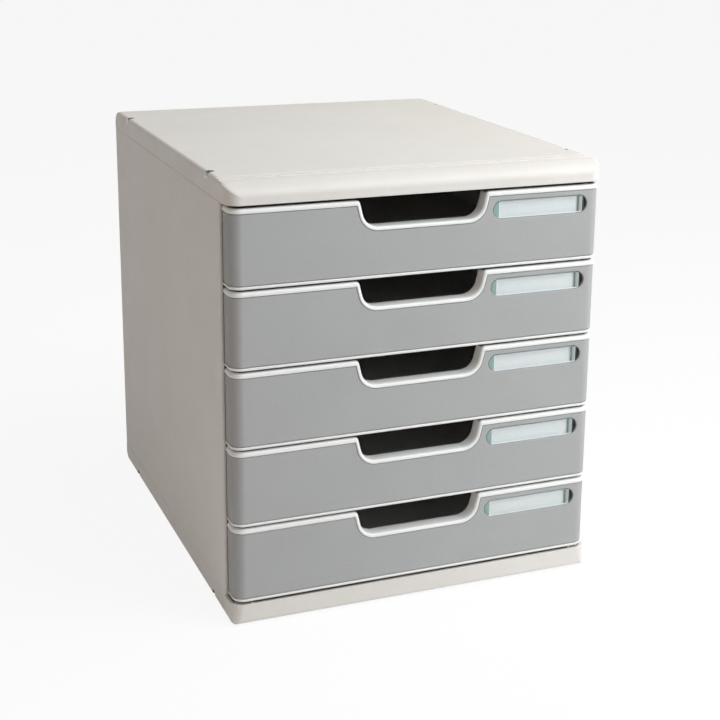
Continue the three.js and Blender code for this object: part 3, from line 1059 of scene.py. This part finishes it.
for side, name in ((-1, "left"), (1, "right")):
    makePiece(
        name + "_side_moulding",
        sidePanel(side),
        carcassPlastic,
        "housing",
        [name + "_side_panel"],
    )

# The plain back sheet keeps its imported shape, with its cut edges eased.
backEdge = 0.4
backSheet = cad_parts["back_panel"]
backSheet.material_slots[0].material = carcassPlastic
weld = backSheet.modifiers.new("weld", "WELD")
weld.merge_threshold = weldDistance * mm
ease = backSheet.modifiers.new("eased edges", "BEVEL")
ease.width = backEdge * mm
ease.segments = 3
ease.limit_method = "ANGLE"
print("panels and feet made")


# Drawer fronts. Their shapes are drawn flat: s runs along the front line from its middle and
# round both corners, z is the height in the drawer, and depth is how far behind the skin.


front = dict(
    halfWidth=trayHigh[0],
    faceY=trayLow[1],
    returnY=cadBox("drawer_1_fascia")[1][1],
    height=trayHigh[2] - trayLow[2],
    cornerRadius=9,
    cornerSteps=14,
    ledgeDepth=10.5,
    ledgeThickness=2.5,
    skinDepth=2.9,
    skinThickness=2.2,
    rimRadius=2.4,
    footRadius=1.4,
    rimSteps=6,
    lipReach=1.1,
    lipDepth=0.45,
    lowerLip=0.25,
    wallDrop=2.1,
    topRim=3.6,
    bottomRim=2.2,
)
cutout = dict(
    flatHalf=34.5,
    depth=19.4,
    cornerRadius=12,
    slant=14,
    topRadius=3,
    rim=2.7,
    ledgeEnd=1,              # the ledge stops this far below the drawer's top
    flatSteps=2,
    cornerSteps=16,
    topSteps=8,
    sideSteps=3,
)
fascia = dict(setback=0.4, thickness=2.2, clearance=0.3, edge=0.8, edgeSteps=4)

cornerStart = front["halfWidth"] - front["cornerRadius"]
cornerEnd = cornerStart + front["cornerRadius"] * math.pi / 2
lineEnd = cornerEnd + front["returnY"] - front["faceY"] - front["cornerRadius"]
wallBack = front["skinDepth"] + front["skinThickness"]


def wrapFront(flat, depth):
    # Bends (s, z) round the drawer's front: straight, then the angle s / radius round each
    # corner, then straight back.
    s, z = flat[:, 0], flat[:, 1]
    along, side = np.abs(s), np.where(s < 0, -1.0, 1.0)
    radius = front["cornerRadius"] - depth
    angle = np.clip((along - cornerStart) / front["cornerRadius"], 0, np.pi / 2)
    x = np.minimum(along, cornerStart) + radius * np.sin(angle)
    y = front["faceY"] + front["cornerRadius"] - radius * np.cos(angle)
    y = y + np.maximum(along - cornerEnd, 0)
    return np.stack([side * x, y, z], axis=1)


def frontOutline(offset, topZ, topRadius=0):
    # Upper line of a drawer front from its left end to its right, by way of the finger
    # cut-out: flat, corner arc, leaning side, small arc at the top, then round the corner.
    lean = math.radians(cutout["slant"])
    radius = cutout["cornerRadius"] + offset
    centreZ = front["height"] - cutout["depth"] + cutout["cornerRadius"]
    slant, cornerSteps = cutout["slant"], cutout["cornerSteps"]
    level = np.linspace(0, cutout["flatHalf"], cutout["flatSteps"] + 1)[:-1]
    flat = np.column_stack([level, np.full(level.size, centreZ - radius)])
    corner = arcPoints((cutout["flatHalf"], centreZ), radius, -90, -slant, cornerSteps)
    sideX, sideZ = corner[-1]
    rise = (topZ - topRadius + topRadius * math.sin(lean) - sideZ) / math.cos(lean)
    topX = sideX + rise * math.sin(lean) + topRadius * math.cos(lean)
    turn = arcPoints((topX, topZ - topRadius), topRadius, 180 - slant, 90, cutout["topSteps"])
    straight = np.linspace(topX, cornerStart, cutout["sideSteps"] + 1)[1:]
    bend = np.linspace(cornerStart, cornerEnd, front["cornerSteps"] + 1)[1:]
    runOut = np.concatenate([straight, bend, [lineEnd]])
    top = np.column_stack([runOut, np.full(runOut.size, topZ)])
    half = np.concatenate([flat, corner, turn, top])
    return np.concatenate([half[:0:-1] * [-1, 1], half])


def lowerLine(z):
    # Lower line of a drawer front, with the same stations as the upper one past the corners.
    bend = np.linspace(cornerStart, cornerEnd, front["cornerSteps"] + 1)
    half = np.concatenate([bend, [lineEnd]])
    s = np.concatenate([-half[::-1], half])
    return np.column_stack([s, np.full(s.size, z)])


def frontSheet(upper, lower, depth, holes=()):
    # The skin between two lines at one depth: a flat fill in front, ruled strips at the ends.
    inFront = upper[np.abs(upper[:, 0]) < cornerStart + weldDistance]
    floor = lower[np.abs(lower[:, 0]) < cornerStart + weldDistance]
    border = np.concatenate([floor, inFront[::-1]])
    made = [flatFill([border, *holes], lambda p: wrapFront(p, depth))]
    count = front["cornerSteps"] + 2
    for ends in (slice(None, count), slice(-count, None)):
        rows = [wrapFront(line[ends], depth) for line in (lower, upper)]
        made.append(gridSurface(np.stack(rows)))
    return made


def strip(lines, depths):
    # A band over the front's lines in turn, each wrapped at its own depth.
    return gridSurface(np.stack([wrapFront(line, depth) for line, depth in zip(lines, depths)]))


def closingEnds(*strips):
    # Flat faces over both ends of a skin, round the last columns of its strips.
    made = []
    for column in (0, -1):
        edges = [
            np.stack([wrapFront(line, depth)[column] for line, depth in zip(*each)])
            for each in strips
        ]
        made.append(oneFace(np.concatenate([edges[0], edges[1][::-1]])))
    return made


def rounding(radius, steps):
    # How far in and how far down a quarter round goes, from the face to the wall.
    turn = np.radians(np.linspace(90, 0, steps + 1))
    return radius * (1 - np.cos(turn)), radius * (1 - np.sin(turn))


windowLow, windowHigh = cadBox("drawer_1_label_window")
cardLow, cardHigh = cadBox("drawer_1_label_card")
label = dict(
    clearance=0.3,
    endGap=2.4,
    windowEdge=0.25,
    cardEdge=0.06,
    cardCorner=0.4,
    slotMargin=1.6,
    slotSpread=1.5,
    slotWiden=0.2,
    arcSteps=24,
)
pocketLeft = windowLow[0] - label["clearance"]
pocketRight = windowHigh[0] + label["endGap"]
pocketZ = (windowLow[2] + windowHigh[2]) / 2 - trayLow[2]
pocketRadius = (windowHigh[2] - windowLow[2]) / 2 + label["clearance"]


def pocketOutline(offset, cutX=None):
    # The label pocket: two straight edges with half-round ends, cut upright at cutX if given.
    radius = pocketRadius + offset
    right = (pocketRight - pocketRadius, pocketZ)
    left = (pocketLeft + pocketRadius, pocketZ)
    steps = label["arcSteps"]
    if cutX is None:
        rightEnd = arcPoints(right, radius, -90, 90, steps)
    else:
        reach = math.degrees(math.acos((cutX - right[0]) / radius))
        lower = arcPoints(right, radius, -90, -reach, steps // 2)
        upper = arcPoints(right, radius, reach, 90, steps // 2)
        rightEnd = np.concatenate([lower, upper])
    return np.concatenate([rightEnd, arcPoints(left, radius, 90, 270, steps)])


def halfMoon(offset):
    # The slot in the wall behind the pocket's open end, through which a card is pushed out.
    centre = (pocketRight - pocketRadius, pocketZ)
    radius = pocketRadius + offset
    cutX = windowHigh[0] - label["slotMargin"]
    reach = math.degrees(math.acos((cutX - centre[0]) / radius))
    return arcPoints(centre, radius, -reach, reach, label["arcSteps"])


def frontFrame():
    # The tray's front: rims above, below and round the cut-out, and the wall behind them. From
    # the skin the upper rim comes forward over a rounded lip and goes back over a quarter
    # round; both shrink with its width where it is narrower. Round the cut-out it runs on as a
    # finger ledge, and elsewhere the wall drops behind it. The lower rim has a narrow bevel
    # and a quarter round.
    height = front["height"]
    outer = frontOutline(0, height, cutout["topRadius"])
    inner = frontOutline(cutout["rim"], height - front["topRim"])
    width = np.linalg.norm(inner - outer, axis=1, keepdims=True)
    across = (inner - outer) / width * np.minimum(width / front["topRim"], 1)
    share = np.linalg.norm(across, axis=1)
    plain = outer[:, 1] > height - cutout["ledgeEnd"]
    reach = np.where(plain, front["skinDepth"], front["ledgeDepth"])
    drop = np.where(plain, front["wallDrop"], front["ledgeThickness"])
    under = outer + across * (drop / share)[:, None]
    lipIn, lipDown = (part[::-1] for part in rounding(1, front["rimSteps"]))
    lipIn, lipDown = lipIn * front["lipReach"], lipDown * front["lipDepth"]
    roundIn, roundDown = rounding(front["rimRadius"], front["rimSteps"])
    footIn, footDown = rounding(front["footRadius"], front["rimSteps"])
    rimDepths = [*lipDown, *(share * d for d in roundDown)]
    depths = [front["skinDepth"], *rimDepths, reach, reach, wallBack, wallBack]
    upperLines = [inner] + [inner - across * a for a in lipIn]
    upperLines += [outer + across * a for a in roundIn]
    upperLines += [outer, under, under, inner]
    bottom, rim, lip = lowerLine(0), front["bottomRim"], front["lowerLip"]
    lowerDepths = [front["skinDepth"], lip, 0, *footDown, wallBack, wallBack]
    lowerLines = [bottom + [0, z] for z in (rim, rim, rim - lip, *footIn, 0, rim)]
    slot = halfMoon(label["slotSpread"])
    surfaces = [strip(upperLines, depths), strip(lowerLines, lowerDepths)]
    for depth in (front["skinDepth"], wallBack):
        surfaces += frontSheet(inner, bottom + [0, rim], depth, [slot])
    ring = np.concatenate([slot, slot[:1]])
    surfaces.append(strip([ring, ring], [front["skinDepth"], wallBack]))
    surfaces += closingEnds((upperLines, depths), (lowerLines, lowerDepths))
    return shellMesh(surfaces)


def fasciaMesh():
    # The grey skin: both outlines and the pocket's are drawn in by the rounding at its face.
    near, far = fascia["setback"], fascia["setback"] + fascia["thickness"]
    edgeIn, edgeDown = rounding(fascia["edge"], fascia["edgeSteps"])
    inset, depths = [*edgeIn, 0], [*(near + edgeDown), far]
    gap = fascia["clearance"]
    topZ = front["height"] - front["topRim"] - gap
    upperLines = [frontOutline(cutout["rim"] + gap + a, topZ - a) for a in inset]
    lowerLines = [lowerLine(front["bottomRim"] + gap + a) for a in inset]
    pocketLines = [pocketOutline(a) for a in inset]
    surfaces = [strip(upperLines, depths), strip(lowerLines, depths)]
    surfaces.append(strip([np.concatenate([p, p[:1]]) for p in pocketLines], depths))
    surfaces += frontSheet(upperLines[0], lowerLines[0], near, [pocketLines[0]])
    surfaces += frontSheet(upperLines[-1], lowerLines[-1], far, [pocketLines[-1]])
    surfaces += closingEnds((upperLines, depths), (lowerLines, depths))
    return shellMesh(surfaces)


def binMesh():
    # The open box behind the front: one profile of (inset, height) carried round its plan. It
    # is four quarter rounds: outside at the foot, two over the rim, and inside at the floor.
    edge, foot, wall = tray["edge"], tray["footRadius"], tray["wall"]
    top, floor = tray["top"], tray["floorLift"]
    turn = np.radians(np.linspace(0, 90, tray["profileSteps"] + 1))
    sine, cosine = np.sin(turn), np.cos(turn)
    insets = [
        foot * (1 - sine),
        edge * (1 - cosine),
        wall - edge + edge * sine,
        wall + foot * (1 - cosine),
    ]
    heights = [
        floor + foot * (1 - cosine),
        top - edge + edge * sine,
        top - edge + edge * cosine,
        floor + wall + foot * (1 - sine),
    ]
    low = np.array([-trayX, front["faceY"] + wallBack - wall + tray["frontOverlap"]])
    high = np.array([trayX, trayHigh[1]])
    rings = []
    for inset, z in zip(np.concatenate(insets), np.concatenate(heights)):
        corner = max(tray["cornerRadius"] - inset, tray["leastCorner"])
        plan = roundedRectangle(low + inset, high - inset, corner, tray["cornerSteps"])
        rings.append(np.column_stack([plan, np.full(len(plan), z)]))
    return carve(shellMesh([ringStack(np.stack(rings))]), "DIFFERENCE", binOpenings())


def binOpenings():
    # What leaves the bin's front wall open: the finger cut-out and the slot behind the card.
    line = frontOutline(front["ledgeThickness"] / 2, front["height"])
    sides = line[line[:, 1] < front["height"] - cutout["ledgeEnd"]]
    rise = cutout["depth"]
    spread = rise * math.tan(math.radians(cutout["slant"]))
    above = sides[[-1, 0]] + np.array([(spread, rise), (-spread, rise)])
    holes = [np.concatenate([sides, above]), halfMoon(label["slotSpread"] + label["slotWiden"])]
    ends = front["faceY"], front["faceY"] + wallBack + tray["cutBehind"]
    return [shellMesh([prism(hole, *ends, tray["cutEdge"], "xzy")]) for hole in holes]


def sideRails():
    # Flanges that hang the tray on the runners, each ended by a stop lug.
    top, rearY = tray["top"], trayHigh[1]
    flangeFront = front["faceY"] + front["ledgeDepth"] - tray["flangeLead"]
    flangeBottom = top - tray["flangeThickness"]
    lugX, lugFront = flangeX - tray["lugWidth"], rearY - tray["lugLength"]
    made = []
    for side in (-1, 1):
        flange = block(
            (side * (trayX - tray["flangeOverlap"]), flangeFront, flangeBottom),
            (side * flangeX, rearY, top),
            tray["flangeEdge"],
        )
        lug = block(
            (side * lugX, lugFront, top - tray["lugRoot"]),
            (side * flangeX, rearY, top + tray["lugHeight"]),
            tray["lugEdge"],
        )
        made += [shellMesh([flange]), shellMesh([lug])]
    return made


def windowMesh():
    # The clear strip: the pocket's outline a clearance smaller and cut upright at its right end.
    outline = pocketOutline(-label["clearance"], windowHigh[0])
    return shellMesh([prism(outline, windowLow[1], windowHigh[1], label["windowEdge"], "xzy")])


def cardMesh():
    # The card: a thin prism of a rectangle with rounded corners.
    low, high = cardLow - [0, 0, trayLow[2]], cardHigh - [0, 0, trayLow[2]]
    outline = roundedRectangle(low[[0, 2]], high[[0, 2]], label["cardCorner"])
    return shellMesh([prism(outline, low[1], high[1], label["cardEdge"], "xzy")])


drawerParts = [
    ("tray", "tray_moulding", [frontFrame(), binMesh()] + sideRails(), trayPlastic, "tray_plastic"),
    ("fascia", "fascia_skin", [fasciaMesh()], fasciaPlastic, "fascia_plastic"),
    ("label_window", "clear_strip", [windowMesh()], windowPlastic, "label_window_clear"),
    ("label_card", "blank_card", [cardMesh()], cardBoard, "label_card_paper"),
]

for number, baseZ in drawerBases.items():
    lift = Matrix.Translation((0, 0, baseZ * mm))
    for node, title, shells, material, slot in drawerParts:
        raised = [shell.copy() for shell in shells]
        for shell in raised:
            shell.transform(lift)
        body = f"drawer_{number}"
        makePiece(f"{body}_{title}", raised, material, body, [f"{body}_{node}"])
print("drawers made")


# Floor, light and camera


def seenAsWhite(tree, lit, kind, share):
    # A share of plain white mixed in for what the camera, a reflection or clear plastic sees,
    # and none for the rays that light the object.
    rays = addNode(tree, "ShaderNodeLightPath").outputs
    seen = rays["Is Camera Ray"]
    for ray in ("Is Glossy Ray", "Is Transmission Ray"):
        either = {0: seen, 1: rays[ray]}
        larger = addNode(tree, "ShaderNodeMath", {"operation": "MAXIMUM"}, either)
        seen = larger.outputs["Value"]
    part = addNode(tree, "ShaderNodeMath", {"operation": "MULTIPLY"}, {0: seen, 1: share})
    white = addNode(tree, kind, {}, {"Color": (1, 1, 1, 1), "Strength": 1})
    layers = {0: part.outputs["Value"], 1: lit.outputs[0], 2: white.outputs[0]}
    return addNode(tree, "ShaderNodeMixShader", {}, layers).outputs[0]


# The studio's places and sizes are in metres.
studio = dict(
    floorSize=24,
    floorColor="#F6F6F6",
    floorRoughness=0.9,
    floorSheen=0.1,
    floorWhite=0.9,
    worldColor="#FFFFFF",
    worldStrength=0.25,
    lampAim=(0, 0, 0.18),
)


def makeFloor():
    # A wide matt floor in pale paint, which takes a soft shadow and hardly any reflection.
    half = studio["floorSize"] / 2
    mesh = bpy.data.meshes.new("floor")
    corners = [(-half, -half, 0), (half, -half, 0), (half, half, 0), (-half, half, 0)]
    mesh.from_pydata(corners, [], [[0, 1, 2, 3]])
    floor = addObject("studio_floor", mesh)
    material, tree, shader = newMaterial("paleStudioFloor")
    setInputs(
        tree,
        shader,
        {
            "Base Color": linear(studio["floorColor"]),
            "Roughness": studio["floorRoughness"],
            "Specular IOR Level": studio["floorSheen"],
        },
    )
    surface = seenAsWhite(tree, shader, "ShaderNodeEmission", studio["floorWhite"])
    setInputs(tree, tree.nodes["Material Output"], {"Surface": surface})
    mesh.materials.append(material)


def makeWorld():
    # A weak even glow lights the object from all sides; the eye sees it as plain white.
    world = bpy.data.worlds.new("softStudio")
    bpy.context.scene.world = world
    world.use_nodes = True
    tree = world.node_tree
    tree.nodes.clear()
    glow = addNode(
        tree,
        "ShaderNodeBackground",
        {},
        {"Color": linear(studio["worldColor"]), "Strength": studio["worldStrength"]},
    )
    surface = seenAsWhite(tree, glow, "ShaderNodeBackground", 1)
    addNode(tree, "ShaderNodeOutputWorld", {}, {"Surface": surface})


# Round soft lamps: the key lights the fronts from low on the right, two from above light the
# cover, and a weak warm one fills the left side.
lamps = [
    dict(name="key_right", place=(0.8, -0.9, 0.35), size=0.6, watts=5.1, color="#FBFDFF"),
    dict(name="high_right", place=(0.9, -0.15, 1.2), size=0.8, watts=6.4, color="#FFF8E8"),
    dict(name="high_front", place=(0.4, -0.6, 1.25), size=0.8, watts=9, color="#F0F9FF"),
    dict(name="warm_left", place=(-1.2, -0.7, 0.6), size=0.9, watts=1.2, color="#FFC890"),
]


def makeLamp(lamp):
    # A round lamp at its place, turned towards the aim.
    light = bpy.data.lights.new(lamp["name"], "AREA")
    light.shape = "DISK"
    light.size = lamp["size"]
    light.energy = lamp["watts"]
    light.color = linear(lamp["color"])[:3]
    holder = addObject(lamp["name"], light)
    holder.location = lamp["place"]
    toward = Vector(studio["lampAim"]) - Vector(lamp["place"])
    holder.rotation_euler = toward.to_track_quat("-Z", "Y").to_euler()


# The viewpoint was worked out from the photograph's edges. Places are in millimetres, angles
# in degrees, and the focal length and the picture's centre in its pixels.
viewpoint = dict(
    azimuth=-22.758,
    elevation=14.803,
    roll=-0.851,
    place=(-409.7, -1108.3, 519.4),
    focalPixels=1482.2,
    centrePixels=(40, -86),
    imagePixels=720,
    sensor=36,
)


def makeCamera():
    # The camera's axes are back (from the object to it), right and down. Both of the last turn
    # about the first by the roll, and the picture's centre becomes a shift of the lens.
    turns = [math.radians(viewpoint[k]) for k in ("azimuth", "elevation", "roll")]
    azimuth, elevation, roll = turns
    back = np.array([math.sin(azimuth), -math.cos(azimuth), 0]) * math.cos(elevation)
    back[2] = math.sin(elevation)
    right = np.cross(-back, [0, 0, 1])
    right /= np.linalg.norm(right)
    down = np.cross(-back, right)
    rolledRight = right * math.cos(roll) + down * math.sin(roll)
    rolledDown = down * math.cos(roll) - right * math.sin(roll)
    turn = Matrix(np.stack([rolledRight, -rolledDown, back], axis=1)).to_4x4()
    data = bpy.data.cameras.new("camera")
    data.sensor_width = viewpoint["sensor"]
    data.lens = viewpoint["focalPixels"] * viewpoint["sensor"] / viewpoint["imagePixels"]
    data.shift_x = -viewpoint["centrePixels"][0] / viewpoint["imagePixels"]
    data.shift_y = viewpoint["centrePixels"][1] / viewpoint["imagePixels"]
    camera = addObject("camera", data)
    camera.matrix_world = Matrix.Translation(Vector(viewpoint["place"]) * mm) @ turn
    bpy.context.scene.camera = camera


makeFloor()
makeWorld()
for lamp in lamps:
    makeLamp(lamp)
makeCamera()
bpy.context.scene.view_settings.view_transform = "Standard"
print("floor, light and camera made")
